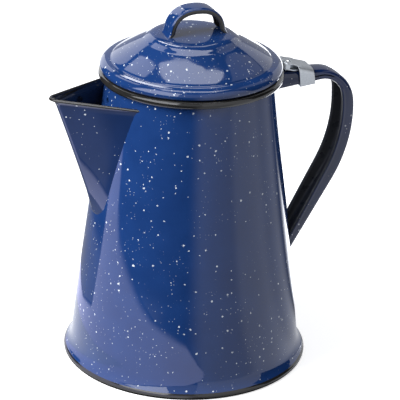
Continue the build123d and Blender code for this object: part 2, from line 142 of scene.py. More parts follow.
def catmull(points, per_span):
    """A smooth curve through points, with per_span steps in each span."""
    out = []
    count = len(points)
    for i in range(count - 1):
        p0 = points[i - 1] if i else [2 * a - b for a, b in zip(points[0], points[1])]
        p1, p2 = points[i], points[i + 1]
        p3 = points[i + 2] if i + 2 < count else [2 * a - b for a, b in zip(p2, p1)]
        # Centripetal spacing keeps the curve from looping where points are close together.
        gaps = [max(math.dist(a, b), TINY) ** 0.5 for a, b in ((p0, p1), (p1, p2), (p2, p3))]
        t1, t2 = gaps[0], gaps[0] + gaps[1]
        t3 = t2 + gaps[2]
        for s in range(per_span):
            t = t1 + (t2 - t1) * s / per_span
            point = []
            for a0, a1, a2, a3 in zip(p0, p1, p2, p3):
                b1 = (t1 - t) / t1 * a0 + t / t1 * a1
                b2 = (t2 - t) / (t2 - t1) * a1 + (t - t1) / (t2 - t1) * a2
                b3 = (t3 - t) / (t3 - t2) * a2 + (t - t2) / (t3 - t2) * a3
                c1 = (t2 - t) / t2 * b1 + t / t2 * b2
                c2 = (t3 - t) / (t3 - t1) * b2 + (t - t1) / (t3 - t1) * b3
                point.append((t2 - t) / (t2 - t1) * c1 + (t - t1) / (t2 - t1) * c2)
            out.append(tuple(point))
    out.append(tuple(points[-1]))
    return out


def build(name, verts, faces, materials, face_materials=()):
    """A smooth-shaded mesh object from vertices in millimetres."""
    mesh = bpy.data.meshes.new(name)
    mesh.from_pydata([(x * MM, y * MM, z * MM) for x, y, z in verts], [], faces)
    for material in materials:
        mesh.materials.append(material)
    if face_materials:
        mesh.polygons.foreach_set("material_index", face_materials)
    mesh.polygons.foreach_set("use_smooth", [True] * len(mesh.polygons))
    mesh.update()
    piece = bpy.data.objects.new(name, mesh)
    bpy.context.scene.collection.objects.link(piece)
    return piece


def lathe(name, profile, materials, bands=None, segments=256):
    """Revolve a closed profile of (r, z) points. Bands give each profile edge's material index."""
    verts, faces, indices = [], [], []
    count = len(profile)
    for s in range(segments):
        a = 2 * math.pi * s / segments
        verts += [(r * math.cos(a), r * math.sin(a), z) for r, z in profile]
    for s in range(segments):
        t = (s + 1) % segments
        for i in range(count):
            j = (i + 1) % count
            if profile[i][0] < TINY and profile[j][0] < TINY:
                continue
            faces.append([s * count + i, t * count + i, t * count + j, s * count + j])
            indices.append(bands[i] if bands else 0)
    piece = build(name, verts, faces, materials, indices)
    tidy(piece)
    return piece


def tidy(piece):
    """Weld coincident points and turn the faces outwards."""
    work = bmesh.new()
    work.from_mesh(piece.data)
    bmesh.ops.remove_doubles(work, verts=work.verts, dist=WELD * MM)
    bmesh.ops.dissolve_degenerate(work, edges=work.edges, dist=WELD * MM)
    bmesh.ops.recalc_face_normals(work, faces=work.faces)
    work.to_mesh(piece.data)
    work.free()
    piece.data.update()


def loft(name, rings, materials, bands):
    """Skin closed rings of equal length into one solid with capped ends. Bands are as in lathe."""
    verts = [p for ring in rings for p in ring]
    count = len(rings[0])
    faces, indices = [], []
    for k in range(len(rings) - 1):
        for i in range(count):
            j = (i + 1) % count
            faces.append([k * count + i, k * count + j, (k + 1) * count + j, (k + 1) * count + i])
            indices.append(bands[i])
    faces.append(list(range(count)))
    faces.append([(len(rings) - 1) * count + i for i in range(count)])
    indices += [0, 0]
    piece = build(name, verts, faces, materials, indices)
    tidy(piece)
    return piece


def apply_modifiers(piece):
    """Bake a piece's modifiers into its mesh."""
    deps = bpy.context.evaluated_depsgraph_get()
    baked = bpy.data.meshes.new_from_object(piece.evaluated_get(deps))
    piece.modifiers.clear()
    piece.data = baked


def smooth_by_angle(piece, angle):
    """Smooth shading that keeps edges sharper than the angle, in degrees."""
    work = bmesh.new()
    work.from_mesh(piece.data)
    limit = math.radians(angle)
    for edge in work.edges:
        edge.smooth = not (len(edge.link_faces) == 2 and edge.calc_face_angle(0) > limit)
    for face in work.faces:
        face.smooth = True
    work.to_mesh(piece.data)
    work.free()


# ---------------------------------------------------------------- materials


def new_material(name):
    """An empty node material with one Principled shader."""
    material = bpy.data.materials.new(name)
    material.use_nodes = True
    nodes, links = material.node_tree.nodes, material.node_tree.links
    nodes.clear()
    out = nodes.new("ShaderNodeOutputMaterial")
    shader = nodes.new("ShaderNodeBsdfPrincipled")
    links.new(shader.outputs[0], out.inputs[0])
    return material, nodes, links, shader


def math_node(nodes, links, operation, a, b=None, c=None, clamp=False):
    """One step of arithmetic on sockets or numbers."""
    node = nodes.new("ShaderNodeMath")
    node.operation = operation
    node.use_clamp = clamp
    for socket, value in zip(node.inputs, (a, b, c)):
        if value is None:
            continue
        if isinstance(value, (int, float)):
            socket.default_value = value
        else:
            links.new(value, socket)
    return node.outputs[0]


def mix_colour(nodes, links, factor, a, b):
    """A colour between a and b, each a socket or an (r, g, b) tuple."""
    node = nodes.new("ShaderNodeMix")
    node.data_type = "RGBA"
    for socket, value in ((node.inputs[0], factor), (node.inputs[6], a), (node.inputs[7], b)):
        if isinstance(value, tuple):
            socket.default_value = (*value, 1)
        else:
            links.new(value, socket)
    return node.outputs[2]


def noise(nodes, links, vector, scale, detail, rough=0.5):
    """Smooth noise. Its scale is in lumps to the metre."""
    node = nodes.new("ShaderNodeTexNoise")
    node.inputs["Scale"].default_value = scale
    node.inputs["Detail"].default_value = detail
    node.inputs["Roughness"].default_value = rough
    links.new(vector, node.inputs["Vector"])
    return node.outputs["Fac"]


def remap(nodes, links, value, low, high, to_low, to_high, smooth=False):
    """Stretch low..high to to_low..to_high, and hold it there outside."""
    node = nodes.new("ShaderNodeMapRange")
    node.interpolation_type = "SMOOTHSTEP" if smooth else "LINEAR"
    for socket, number in zip(node.inputs[1:5], (low, high, to_low, to_high)):
        socket.default_value = number
    links.new(value, node.inputs[0])
    return node.outputs[0]


SPECKLE_COLOUR = (0.86, 0.92, 1.0)
SPECKLE_EDGE = 0.10  # width of a speckle's soft edge, in millimetres
SPECKLE_WOBBLE = 0.0009  # how far its outline is pushed about, in metres


def speckles(nodes, links, place, cell, r_low, r_high, seed):
    """Small dots, at most one to a cell, of radius r_low to r_high: their mask, and a shade for each."""
    shift = nodes.new("ShaderNodeMapping")
    shift.inputs["Location"].default_value = seed
    links.new(place, shift.inputs["Vector"])
    cells = nodes.new("ShaderNodeTexVoronoi")
    cells.inputs["Scale"].default_value = 1 / (cell * MM)
    links.new(shift.outputs[0], cells.inputs["Vector"])
    split = nodes.new("ShaderNodeSeparateColor")
    links.new(cells.outputs["Color"], split.inputs[0])
    # Few cells get a large dot and many get almost none.
    size = math_node(nodes, links, "POWER", split.outputs[0], 1.5)
    radius = remap(nodes, links, size, 0, 1, r_low / cell, r_high / cell)
    inner = math_node(nodes, links, "SUBTRACT", radius, cells.outputs["Distance"])
    edge = math_node(nodes, links, "MULTIPLY", inner, cell / SPECKLE_EDGE, clamp=True)
    return edge, split.outputs[1]


def enamel(name, colour, deep, cell=0, roughness=0.07):
    """Glossy vitreous enamel: a mottled colour under glass. White speckles lie about a cell apart, if any."""
    material, nodes, links, shader = new_material(name)
    place = nodes.new("ShaderNodeTexCoord").outputs["Object"]
    mottle = noise(nodes, links, place, scale=60, detail=4)
    base = mix_colour(nodes, links, remap(nodes, links, mottle, 0.3, 0.7, 0, 1), deep, colour)
    if cell:
        wobble = nodes.new("ShaderNodeTexNoise")
        wobble.inputs["Scale"].default_value = 900
        wobble.inputs["Detail"].default_value = 1
        links.new(place, wobble.inputs["Vector"])
        spread = nodes.new("ShaderNodeVectorMath")
        spread.operation = "MULTIPLY_ADD"
        links.new(wobble.outputs["Color"], spread.inputs[0])
        spread.inputs[1].default_value = (SPECKLE_WOBBLE,) * 3
        links.new(place, spread.inputs[2])
        moved = spread.outputs[0]
        large, shade_l = speckles(nodes, links, moved, cell, -0.24, 0.74, (0.3, 0.1, 0.7))
        small, shade_s = speckles(nodes, links, moved, cell * 0.52, -0.04, 0.40, (0.9, 0.5, 0.2))
        # The small ones crowd together in places.
        crowd = noise(nodes, links, place, scale=30, detail=2)
        crowd = remap(nodes, links, crowd, 0.40, 0.58, 0, 1, smooth=True)
        small = math_node(nodes, links, "MULTIPLY", small, crowd)
        bright_l = math_node(nodes, links, "MULTIPLY", large, remap(nodes, links, shade_l, 0, 1, 0.6, 1))
        bright_s = math_node(nodes, links, "MULTIPLY", small, remap(nodes, links, shade_s, 0, 1, 0.2, 0.9))
        factor = math_node(nodes, links, "MAXIMUM", bright_l, bright_s)
        base = mix_colour(nodes, links, factor, base, SPECKLE_COLOUR)
    links.new(base, shader.inputs["Base Color"])
    shader.inputs["Specular IOR Level"].default_value = 0.5
    shader.inputs["Coat Weight"].default_value = 0.35
    shader.inputs["Coat Roughness"].default_value = 0.03
    rough = noise(nodes, links, place, scale=180, detail=3)
    rough = remap(nodes, links, rough, 0.3, 0.7, roughness * 0.7, roughness * 1.4)
    links.new(rough, shader.inputs["Roughness"])
    # Enamel is never quite flat: a faint orange peel and slow waves.
    peel = noise(nodes, links, place, scale=130, detail=2)
    waves = noise(nodes, links, place, scale=22, detail=1)
    height = math_node(nodes, links, "MULTIPLY_ADD", waves, 3.0, peel)
    bump = nodes.new("ShaderNodeBump")
    bump.inputs["Strength"].default_value = 0.12
    bump.inputs["Distance"].default_value = 0.0002
    links.new(height, bump.inputs["Height"])
    links.new(bump.outputs[0], shader.inputs["Normal"])
    return material


def brushed(name, colour, roughness, along):
    """Satin metal sheet with fine grain, drawn out along the axis whose number in along is small."""
    material, nodes, links, shader = new_material(name)
    place = nodes.new("ShaderNodeTexCoord").outputs["Object"]
    stretch = nodes.new("ShaderNodeMapping")
    stretch.inputs["Scale"].default_value = along
    links.new(place, stretch.inputs["Vector"])
    lines = noise(nodes, links, stretch.outputs[0], scale=1500, detail=4, rough=0.6)
    blotch = noise(nodes, links, place, scale=70, detail=3)
    tone = math_node(nodes, links, "MULTIPLY", blotch, 0.5)
    tone = math_node(nodes, links, "MULTIPLY_ADD", lines, 0.5, tone)
    dark = tuple(c * 0.72 for c in colour)
    shade = mix_colour(nodes, links, remap(nodes, links, tone, 0.3, 0.7, 0, 1), dark, colour)
    links.new(shade, shader.inputs["Base Color"])
    shader.inputs["Metallic"].default_value = 1.0
    rough = remap(nodes, links, tone, 0.3, 0.7, roughness * 1.25, roughness * 0.8)
    links.new(rough, shader.inputs["Roughness"])
    bump = nodes.new("ShaderNodeBump")
    bump.inputs["Strength"].default_value = 0.35
    bump.inputs["Distance"].default_value = 0.00004
    links.new(lines, bump.inputs["Height"])
    links.new(bump.outputs[0], shader.inputs["Normal"])
    return material


BLUE = enamel("blue_speckled_enamel", (0.014, 0.053, 0.207), (0.011, 0.043, 0.174), 3.1)
# The lid and its loop: the body's enamel made a little darker, as painted shade.
LID_SHADED_BLUE = enamel("lid_enamel_painted_shade", (0.012, 0.048, 0.190), (0.010, 0.040, 0.160), 2.8)
# The spout: the body's enamel made darker, as painted shade.
SPOUT_SHADED_BLUE = enamel("spout_enamel_painted_shade", (0.014, 0.036, 0.130), (0.011, 0.030, 0.108), 4.4)
HANDLE_GREY = enamel("handle_inside_enamel", (0.086, 0.092, 0.104), (0.066, 0.070, 0.080), roughness=0.32)
# The handle's outside: the body's enamel made darker, as painted shade.
HANDLE_SHADED_BLUE = enamel("handle_enamel_painted_shade", (0.008, 0.024, 0.105), (0.006, 0.019, 0.080), 3.8)
# The spout's hollow: the same enamel painted dark, as shade.
SPOUT_HOLLOW_PAINTED_SHADE = enamel("spout_hollow_painted_shade", (0.020, 0.027, 0.048), (0.014, 0.020, 0.036))
BLACK = enamel("black_enamel", (0.026, 0.025, 0.024), (0.016, 0.016, 0.016), roughness=0.10)
LID_EDGE = enamel("lid_edge_enamel", (0.05, 0.055, 0.07), (0.02, 0.022, 0.03), roughness=0.12)
STEEL = brushed("satin_stainless", (0.68, 0.72, 0.76), 0.42, (1, 0.06, 1))
ALUMINIUM = brushed("spun_aluminium", (0.80, 0.81, 0.82), 0.30, (1, 1, 0.05))

# ---------------------------------------------------------------- pot

# The wall's closed profile: under the foot, up the outside, over the bead and down the inside.
outer = [(68.2, 0.35), (68.6, 0.0), (71.0, 0.0)]
outer += arc(FOOT_RIM_R, FOOT_RIM, FOOT_RIM, -75, 62, 10)
seam_to = len(outer) - 2
outer += catmull([(70.9, 4.1), (69.9, 5.3), (68.8, 7.3), (68.05, 9.6), (67.5, 12.6)], 4)
outer += [(wall_radius(z), z) for z in range(16, 172, 4)]
outer += [(wall_radius(z), z) for z in (171.0, 172.4, 173.0)]
black_from = len(outer)
outer += arc(BEAD_R, BEAD_Z, BEAD, -118, 200, 26)
black_to = len(outer) - 1
inner_top = NECK_R - SHEET
outer += [(inner_top + 0.15, 173.6), (inner_top, 172.5)]
outer += [(wall_radius(z) - SHEET, z) for z in range(170, 10, -8)]
outer += [(FOOT_R - SHEET, FOOT_Z), (67.6, 6.5), (68.2, SEAM_HEIGHT + 0.6)]
# The rolled rim under the foot and the bead round the mouth are black.
bands = [1 if i <= seam_to or black_from - 1 <= i <= black_to else 0 for i in range(len(outer))]
pot_wall = lathe("pot_wall_enamelled", outer, [BLUE, BLACK], bands, 288)


def strainer_cutter():
    """One mesh of short pegs where the strainer holes go."""
    verts, faces = [], []
    sides, peg_half = 24, 4
    for z, angles in STRAINER_ROWS:
        for angle in angles:
            a = math.radians(angle)
            out = Vector((-math.cos(a), math.sin(a), 0))
            across = Vector((-out.y, out.x, 0))
            seat = out * wall_radius(z) + Vector((0, 0, z))
            start = len(verts)
            for depth in (-peg_half, peg_half):
                for s in range(sides):
                    b = 2 * math.pi * s / sides
                    spot = seat + out * depth + across * math.cos(b) * STRAINER_HOLE_R
                    spot += Vector((0, 0, math.sin(b) * STRAINER_HOLE_R))
                    verts.append(tuple(spot))
            for s in range(sides):
                t = (s + 1) % sides
                faces.append([start + s, start + t, start + sides + t, start + sides + s])
            faces.append([start + s for s in range(sides)])
            faces.append([start + sides + s for s in range(sides)])
    cutter = build("strainer_cutter", verts, faces, [BLUE])
    tidy(cutter)
    return cutter


pegs = strainer_cutter()
cut = pot_wall.modifiers.new("strainer", "BOOLEAN")
cut.operation = "DIFFERENCE"
cut.solver = "EXACT"
cut.object = pegs
apply_modifiers(pot_wall)
bpy.data.objects.remove(pegs)
smooth_by_angle(pot_wall, 38)
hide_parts("pot_wall")
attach(pot_wall, "pot")

# The flat bottom, with a raised ring round it and an edge that the foot folds over.
pan = [(0.0, 0.0), (60.0, 0.0)]
pan += catmull([(60.0, 0.0), (61.2, 0.45), (62.6, 0.9), (64.5, 0.9), (66.4, 0.5), (67.4, 0.3)], 4)[1:]
pan += [(67.9, 0.4), (68.0, 1.0), (67.6, 1.5), (66.0, 2.0), (62.4, 2.1), (60.6, 1.6), (59.6, 1.2), (0.0, 1.2)]
base_pan = lathe("base_pan_enamelled", pan, [BLACK])
smooth_by_angle(base_pan, 50)
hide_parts("base_pan")
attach(base_pan, "pot")

# ---------------------------------------------------------------- spout


def spout_value(values, z):
    """One of the spout's lines at height z, with its bends softened over a short stretch."""
    offsets = (-1.2, -0.6, 0, 0.6, 1.2)
    total = 0
    for offset in offsets:
        at = z + offset
        level = max(i for i in range(len(values) - 1) if i == 0 or at >= SPOUT_LEVELS[i])
        low, high = SPOUT_LEVELS[level : level + 2]
        total += values[level] + (at - low) * (values[level + 1] - values[level]) / (high - low)
    return total / len(offsets)


FLANK_STEPS = NOSE_STEPS = 14


def spout_ring(z, inset):
    """One open section of the spout, from one joint round the ridge to the other: (x, y) points."""
    ridge = spout_value(SPOUT_RIDGE, z)
    joint_x = spout_value(SPOUT_JOINT_X, z)
    joint_y = spout_value(SPOUT_JOINT_Y, z)
    flank = math.atan2(joint_y, ridge - joint_x)
    nose = SPOUT_RIDGE_R - inset
    ridge_in = ridge - inset / math.sin(flank)
    centre_x = ridge_in - nose / math.sin(flank)
    # The joint end goes a little way into the wall.
    root_x = joint_x - SPOUT_ROOT
    root_y = (ridge_in - root_x) * math.tan(flank)
    half = math.pi / 2 - flank
    touch = (centre_x + nose * math.cos(half), nose * math.sin(half))
    side = []
    for i in range(FLANK_STEPS):
        t = i / FLANK_STEPS
        x = root_x + (touch[0] - root_x) * t
        y = root_y + (touch[1] - root_y) * t
        # The sides bow out very slightly.
        y += SPOUT_BOW * math.sin(math.pi * t) * math.cos(flank)
        side.append((x, y))
    points = list(side)
    for i in range(NOSE_STEPS + 1):
        a = half - 2 * half * i / NOSE_STEPS
        points.append((centre_x + nose * math.cos(a), nose * math.sin(a)))
    points += [(x, -y) for x, y in reversed(side)]
    return [(-x, y) for x, y in points]


def clamped(t):
    """The number, held to 0..1."""
    return min(max(t, 0), 1)


def lip_height(x):
    """Height of the spout's lip above a point at x (x is negative)."""
    return SPOUT_LIP_Z + (-x - SPOUT_LIP_X) * SPOUT_LIP_SLOPE


def spout_point(u_index, t, low_z, inset, drop):
    """A point on the spout's skin: u_index along the section, t from its foot to its lip."""
    # The lip's height depends on x and x on the height, so it is found in a few steps.
    z_top = SPOUT_LIP_Z
    for _ in range(3):
        x, y = spout_ring(z_top, inset)[u_index]
        z_top = lip_height(x) - drop
    z = low_z + (z_top - low_z) * t
    # Just under the lip the sheet flares out.
    flare = SPOUT_FLARE * clamped((z - z_top + SPOUT_FLARE_H) / SPOUT_FLARE_H) ** 2
    x, y = spout_ring(z, inset - flare)[u_index]
    return (x, y, z)


def into_wall(point, z, drop):
    """A point just inside the wall's outer face at height z, in line with the given point and below it."""
    x, y, top = point
    k = (wall_radius(z) - SPOUT_SINK) / math.hypot(x, y)
    return (x * k, y * k, top - drop)


level_steps = 60
foot_rings = 6
bead_steps = 12
spout_rings = []
for u in range(len(spout_ring(NECK_Z, 0))):
    # A rounded foot that runs back into the wall.
    foot = spout_point(u, 0, SPOUT_FOOT_Z, 0, LIP_BEAD)
    back = into_wall(foot, SPOUT_BACK_Z, SPOUT_FOOT_DROP)
    column = []
    for i in range(foot_rings):
        a = math.pi / 2 * i / foot_rings
        spot = [p + (q - p) * math.sin(a) for p, q in zip(back[:2], foot[:2])]
        column.append((*spot, foot[2] - SPOUT_FOOT_DROP * math.cos(a)))
    for i in range(level_steps + 1):
        column.append(spout_point(u, i / level_steps, SPOUT_FOOT_Z, 0, LIP_BEAD))
    # The lip: the sheet ends in a small round bead.
    top_o = column[-1]
    top_i = spout_point(u, 1, HOLLOW_FOOT_Z, SHEET, LIP_BEAD)
    mid = [(a + b) / 2 for a, b in zip(top_o, top_i)]
    half_w = math.dist(top_o[:2], top_i[:2]) / 2
    side = [(a - m) / max(half_w, TINY) for a, m in zip(top_o[:2], mid[:2])]
    lip_from = len(column) - 1
    for i in range(1, bead_steps):
        a = math.radians(-38 + 256 * i / bead_steps)
        reach = LIP_BEAD * math.cos(a)
        height = mid[2] + 0.1 + LIP_BEAD * math.sin(a)
        column.append((mid[0] + side[0] * reach, mid[1] + side[1] * reach, height))
    lip_to = len(column)
    for i in range(level_steps, -1, -1):
        column.append(spout_point(u, i / level_steps, HOLLOW_FOOT_Z, SHEET, LIP_BEAD))
    column.append(into_wall(column[-1], HOLLOW_BACK_Z, HOLLOW_FOOT_DROP))
    spout_rings.append(column)
# The outside is blue, darker than the body's as painted shade; the lip is black, and the hollow is painted
# dark as shade.
spout_bands = [0 if i < lip_from else 1 if i <= lip_to else 2 for i in range(len(spout_rings[0]))]
spout = loft("spout_enamelled", spout_rings, [SPOUT_SHADED_BLUE, BLACK, SPOUT_HOLLOW_PAINTED_SHADE], spout_bands)
smooth_by_angle(spout, 45)
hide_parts("spout")
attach(spout, "pot")

# ---------------------------------------------------------------- handle


def between(a, b, t):
    """The point a part t of the way from a to b."""
    return tuple(p + (q - p) * t for p, q in zip(a, b))


def handle_line(root, knee, bend, bow, tail):
    """Four stretches (line, arc, arc, line) of one side outline, each as a function of 0..1."""
    x, z = knee
    heading = math.atan2(z - root[1], x - root[0])
    stretches = [lambda t: between(root, knee, t)]
    for radius, sweep in (bend, bow):
        turn = math.radians(sweep)
        cx = x + radius * math.sin(heading)
        cz = z - radius * math.cos(heading)

        def along(t, cx=cx, cz=cz, radius=radius, heading=heading, turn=turn):
            a = heading + turn * t + math.pi / 2
            return (cx + radius * math.cos(a), cz + radius * math.sin(a))

        stretches.append(along)
        x, z = along(1)
        heading += turn
    end = (x + tail * math.cos(heading), z + tail * math.sin(heading))
    stretches.append(lambda t: between((x, z), end, t))
    return stretches


def both_sides(half_section, middle):
    """A whole closed section from its half: (across, down, material) points, with middle on the far side."""
    mirrored = [(-x, d, m) for x, d, m in reversed(half_section[1:])]
    # A face takes the material of the point it starts from, so the mirrored half is shifted by one.
    following = mirrored[1:] + mirrored[-1:]
    return half_section + [middle] + [(x, d, m) for (x, d, _), (_, _, m) in zip(mirrored, following)]


def handle_section(depth, half):
    """The channel's closed section as (across, down, material): down runs from its back to its edges."""
    flush = half - HANDLE_STEP
    web = catmull([(0.0, 0.0), (1.9, 0.03), (flush - HANDLE_EDGE_R, HANDLE_CROWN)], 4)
    corner = arc(flush - HANDLE_EDGE_R, HANDLE_EDGE_R + HANDLE_CROWN, HANDLE_EDGE_R, -90, 0, 9)
    out = [(x, d, 0) for x, d in web[:-1] + corner]
    out += [(flush, depth - 3.2, 0), (flush, depth - 2.5, 0)]
    # The edge of the sheet is rolled into a bead, which stands out past the side by HANDLE_STEP.
    cx, cz = half - HANDLE_BEAD, depth - HANDLE_BEAD
    rolled = arc(cx, cz, HANDLE_BEAD, -38, 205, 13)
    out += [(x, d, 0 if d < depth - 0.5 and x > cx else 1) for x, d in rolled]
    inner_x = flush - HANDLE_SHEET
    inner_r = HANDLE_EDGE_R - HANDLE_SHEET
    out.append((inner_x, depth - 2.6, 1))
    inner = arc(inner_x - inner_r, HANDLE_SHEET + HANDLE_CROWN + inner_r, inner_r, 0, -90, 6)
    out += [(x, d, 1) for x, d in inner]
    out.append((inner_x - inner_r - 1.5, HANDLE_SHEET + 0.12, 1))
    return both_sides(out, (0.0, HANDLE_SHEET + 0.05, 1))


back_line = handle_line(*HANDLE_BACK)
edge_line = handle_line(*HANDLE_EDGE)
handle_rings = []
for stretch, steps in enumerate(STRETCH_STEPS):
    last = stretch == len(STRETCH_STEPS) - 1
    for i in range(steps + last):
        bx, bz = back_line[stretch](i / steps)
        ex, ez = edge_line[stretch](i / steps)
        depth = math.dist((bx, bz), (ex, ez))
        down = ((ex - bx) / depth, (ez - bz) / depth)
        # The strap is a little wider below its upper bend.
        half = HANDLE_HALF + HANDLE_WIDER * clamped((HANDLE_WIDER_Z - bz) / HANDLE_WIDER_RUN)
        section = handle_section(depth, half)
        handle_rings.append([(bx + down[0] * d, y, bz + down[1] * d) for y, d, _ in section])
handle_bands = [m for _, _, m in section]


def radial_gap(point):
    """How far a point stands outside the middle of the pot's wall."""
    x, y, z = point
    return math.hypot(x, y) - (wall_radius(z) - 0.5)


def wall_crossing(a, b):
    """Where the line from a to b goes through the middle of the wall."""
    ga, gb = radial_gap(a), radial_gap(b)
    return between(a, b, ga / (ga - gb))


def trim_rail(rail):
    """Shorten one lengthwise line of the handle so that both its ends lie inside the wall's sheet."""
    clear = [i for i in range(len(rail)) if radial_gap(rail[i]) > 0]
    start = wall_crossing(rail[clear[0] - 1], rail[clear[0]])
    end = wall_crossing(rail[clear[-1]], rail[clear[-1] + 1])
    head, tail = STRETCH_STEPS[0], STRETCH_STEPS[-1]
    tail_from = len(rail) - 1 - tail
    trimmed = [between(start, rail[head], i / head) for i in range(head)]
    trimmed += rail[head:tail_from]
    trimmed += [between(rail[tail_from], end, i / tail) for i in range(tail + 1)]
    return trimmed


rails = [trim_rail([ring[i] for ring in handle_rings]) for i in range(len(handle_rings[0]))]
handle_rings = [[rail[k] for rail in rails] for k in range(len(rails[0]))]
# The handle's outside takes the darker blue, which is painted shade.
handle = loft("handle_enamelled", handle_rings, [HANDLE_SHADED_BLUE, HANDLE_GREY], handle_bands)
smooth_by_angle(handle, 60)
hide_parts("handle")
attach(handle, "pot")

# ---------------------------------------------------------------- lid

lid_outer = catmull(LID_CURVE, 8)
lid_outer[0] = (0.0, LID_CURVE[0][1])


def inset_line(points, amount):
    """The same open line, moved to its inner side."""
    moved = []
    for i, (x, z) in enumerate(points):
        ax, az = points[max(i - 1, 0)]
        bx, bz = points[min(i + 1, len(points) - 1)]
        length = math.dist((ax, az), (bx, bz))
        moved.append((max(x + (bz - az) / length * amount, 0.0), z - (bx - ax) / length * amount))
    return moved


lid_inner = inset_line(lid_outer, LID_SHEET)
lid_inner[0] = (0.0, lid_inner[0][1])
# The edge is a round a little thicker than the sheet, so the last points of both skins are left out.
edge_r = LID_SHEET / 2 + 0.05
lid_profile = list(lid_outer[:-2])
edge_x, edge_z = LID_CURVE[-1][0] - LID_SHEET / 2, LID_EDGE_Z + edge_r
lid_edge_from = len(lid_profile)
lid_profile += arc(edge_x, edge_z, edge_r, 5, -185, 9)
lid_edge_to = len(lid_profile)
lid_profile += list(reversed(lid_inner[:-6]))
lid_bands = [1 if lid_edge_from + 2 <= i < lid_edge_to else 0 for i in range(len(lid_profile))]
lid = lathe("lid_enamelled", lid_profile, [LID_SHADED_BLUE, LID_EDGE], lid_bands, 288)
smooth_by_angle(lid, 50)
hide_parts("lid_shell")
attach(lid, "lid")

# The ring's closed profile: its round lower edge, up the outside, out to the lid's edge and back.
ring_in = RING_R - RING_SHEET
ring_flange = LID_EDGE_Z + RING_SHEET
ring_profile = arc(ring_in + RING_SHEET / 2, RING_LOW_Z + RING_SHEET / 2, RING_SHEET / 2, 180, 360, 8)
black_edge = len(ring_profile)
ring_profile += [(RING_R, RING_MID_Z), (RING_R, LID_EDGE_Z - 0.6)]
ring_profile += arc(RING_R + 0.6, LID_EDGE_Z - 0.6, 0.6, 180, 90, 5)
ring_profile += [(51.35, LID_EDGE_Z), (51.55, LID_EDGE_Z + 0.3), (51.45, LID_EDGE_Z + 0.85)]
ring_profile += [(50.6, ring_flange), (ring_in + 1.3, ring_flange)]
ring_profile += arc(ring_in + 1.2, LID_EDGE_Z - 0.3, 1.2, 90, 180, 6)
ring_profile += [(ring_in, RING_MID_Z)]
ring_bands = [1 if i < black_edge else 0 for i in range(len(ring_profile))]
ring = lathe("lid_ring_enamelled", ring_profile, [BLUE, BLACK], ring_bands)
smooth_by_angle(ring, 50)
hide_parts("lid_locating_ring")
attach(ring, "lid")

# ---------------------------------------------------------------- lid loop


def lid_height(r):
    """Height of the lid's outer surface at radius r."""
    for (r0, z0), (r1, z1) in zip(lid_outer, lid_outer[1:]):
        if r0 <= r <= r1:
            return z0 + (z1 - z0) * (r - r0) / max(r1 - r0, TINY)
    return LID_EDGE_Z


# The strap's line is a superellipse: legs nearly upright, and a flatter top than a circle has.
loop_path = []
for i in range(LOOP_STEPS + 1):
    a = math.radians(180 - i * 180 / LOOP_STEPS)
    across = math.copysign(abs(math.cos(a)) ** (2 / LOOP_POWER), math.cos(a))
    loop_path.append((LOOP_X + LOOP_R * across, LOOP_Z + LOOP_RISE * math.sin(a) ** (2 / LOOP_POWER)))


def loop_section(flare):
    """The strap's closed section: a shallow channel that opens inwards, and is flatter where flare is 1."""
    depth = LOOP_DEPTH - 1.2 * flare
    r = LOOP_CORNER_R - 0.7 * flare
    out = [(x, 0.12 * (x / LOOP_HALF) ** 2, 0) for x in (0.0, 1.5, 3.0)]
    corner = arc(LOOP_HALF - r, r + 0.1, r, -90, 0, 9)
    out += [(x, d, 0 if i < 6 else 1) for i, (x, d) in enumerate(corner)]
    rolled = arc(LOOP_HALF - LOOP_BEAD, depth - LOOP_BEAD + 0.4, LOOP_BEAD, 0, 180, 9)
    out += [(x, d, 1) for x, d in rolled]
    inner_r = max(r - LOOP_SHEET, 0.4)
    inner_x = LOOP_HALF - LOOP_SHEET
    inner = arc(inner_x - inner_r, LOOP_SHEET + 0.1 + inner_r, inner_r, 0, -90, 4)
    out += [(x, d, 1) for x, d in inner]
    out.append((1.5, LOOP_SHEET + 0.02, 1))
    return both_sides(out, (0.0, LOOP_SHEET, 1))


loop_rings = []
for i, (x, z) in enumerate(loop_path):
    before, after = loop_path[max(i - 1, 0)], loop_path[min(i + 1, LOOP_STEPS)]
    run = math.dist(before, after)
    inward = ((after[1] - before[1]) / run, (before[0] - after[0]) / run)
    # Near the lid the strap flattens and spreads outwards to meet it.
    near_foot = max(0.0, 1 - (z - LOOP_Z) / LOOP_FOOT_H) ** 2
    spread = LOOP_SPREAD * near_foot * (1 if x > LOOP_X else -1)
    section = loop_section(near_foot)
    loop_rings.append([(x + inward[0] * d + spread, y, z + inward[1] * d) for y, d, _ in section])
# Both ends sink into the lid.
feet = []
for ring_points in (loop_rings[0], loop_rings[-1]):
    feet.append([(x, y, lid_height(math.hypot(x, y)) - LOOP_SINK) for x, y, _ in ring_points])
loop_rings = [feet[0], *loop_rings, feet[1]]
loop_bands = [m for _, _, m in section]
loop = loft("lid_loop_enamelled", loop_rings, [LID_SHADED_BLUE, BLACK], loop_bands)
smooth_by_angle(loop, 60)
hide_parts("lid_loop")
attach(loop, "lid")

# ---------------------------------------------------------------- hinge metal


def rounded_copy(name, node, voxel, body, material):
    """A finer stand-in for a small sheet-metal node, with its edges softened. Voxel is in millimetres."""
    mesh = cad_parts[node].data.copy()
    mesh.name = name
    piece = bpy.data.objects.new(name, mesh)
    bpy.context.scene.collection.objects.link(piece)
    remesh = piece.modifiers.new("remesh", "REMESH")
    remesh.mode = "VOXEL"
    remesh.voxel_size = voxel * MM
    remesh.use_smooth_shade = True
    smooth = piece.modifiers.new("smooth", "SMOOTH")
    smooth.factor = 0.5
    smooth.iterations = 2
    apply_modifiers(piece)
    piece.data.materials.clear()
    piece.data.materials.append(material)
    for polygon in piece.data.polygons:
        polygon.use_smooth = True
        polygon.material_index = 0
    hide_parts(node)
    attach(piece, body)


rounded_copy("hinge_clip_sheet", "hinge_clip", 0.17, "pot", STEEL)
rounded_copy("lid_hinge_leaf_sheet", "lid_hinge_leaf", 0.14, "lid", STEEL)

# ---------------------------------------------------------------- CAD nodes that stay as they are

